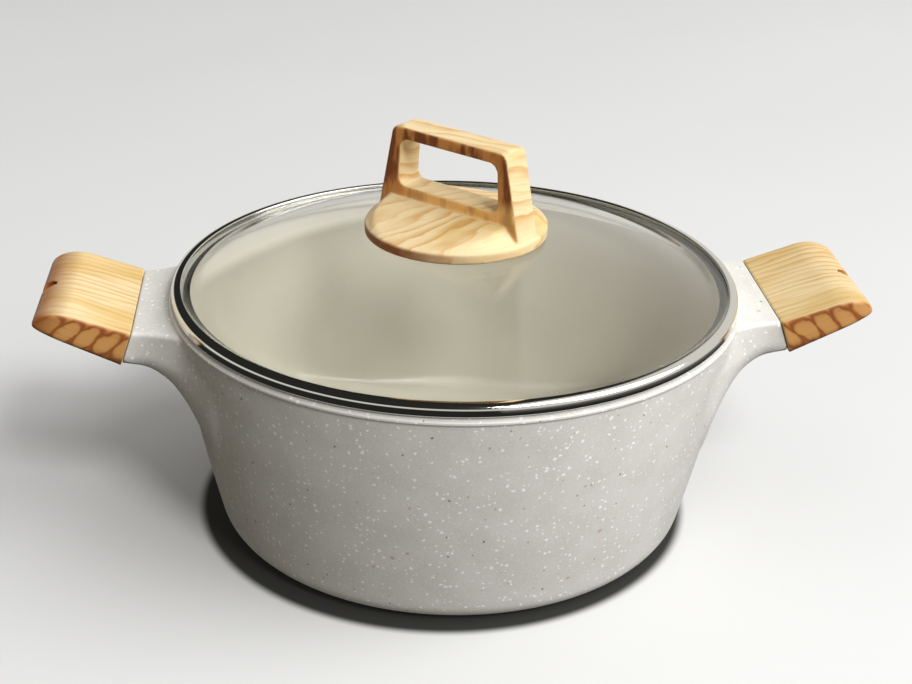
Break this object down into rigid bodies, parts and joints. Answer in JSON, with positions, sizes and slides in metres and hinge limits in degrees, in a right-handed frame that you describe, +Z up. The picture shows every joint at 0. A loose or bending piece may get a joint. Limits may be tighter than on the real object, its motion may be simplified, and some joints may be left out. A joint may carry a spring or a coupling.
{
  "type": "two-handled casserole saucepan with glass lid",
  "caption": "Round tapered casserole pot with two short lugs in wood-look grips, and a domed glass lid with a steel rim band and a wood-look loop knob.",
  "frame": {"origin": "middle of the pot's flat underside, on the surface it stands on", "axes": "+Z up, +X out along one handle (the right-hand one seen from -Y), +Y to the back"},
  "size_m": [0.3554, 0.246, 0.1732],
  "materials": {
    "speckled_coating": "satin light-grey non-stick coating with fine white and dark granite speckle over cast aluminium, plain warm beige inside",
    "base_steel": "brushed stainless steel induction disc with round holes",
    "wood_look": "satin moulded resin with a printed pale golden wood grain, darker and redder on the side faces",
    "fastener_steel": "plain stainless steel",
    "lid_glass": "clear tempered glass with a faint green edge",
    "band_steel": "polished stainless steel",
    "insert_brass": "machined brass",
    "silicone": "translucent white silicone"
  },
  "bodies": {
    "pot": {"pot_body": "speckled_coating", "induction_base_plate": "base_steel", "right_grip": "wood_look", "left_grip": "wood_look", "right_grip_screw": "fastener_steel", "left_grip_screw": "fastener_steel", "right_grip_washer": "fastener_steel", "left_grip_washer": "fastener_steel"},
    "lid": {"glass_lid": "lid_glass", "lid_rim_band": "band_steel", "knob": "wood_look", "knob_insert": "insert_brass", "knob_upper_gasket": "silicone", "knob_lower_gasket": "silicone", "knob_washer": "fastener_steel", "knob_screw": "fastener_steel"}
  },
  "joints": [
    {"name": "lid_lift", "type": "slide", "parent": "pot", "child": "lid", "axis": [0, 0, 1], "range_m": [0, 0.15]}
  ]
}
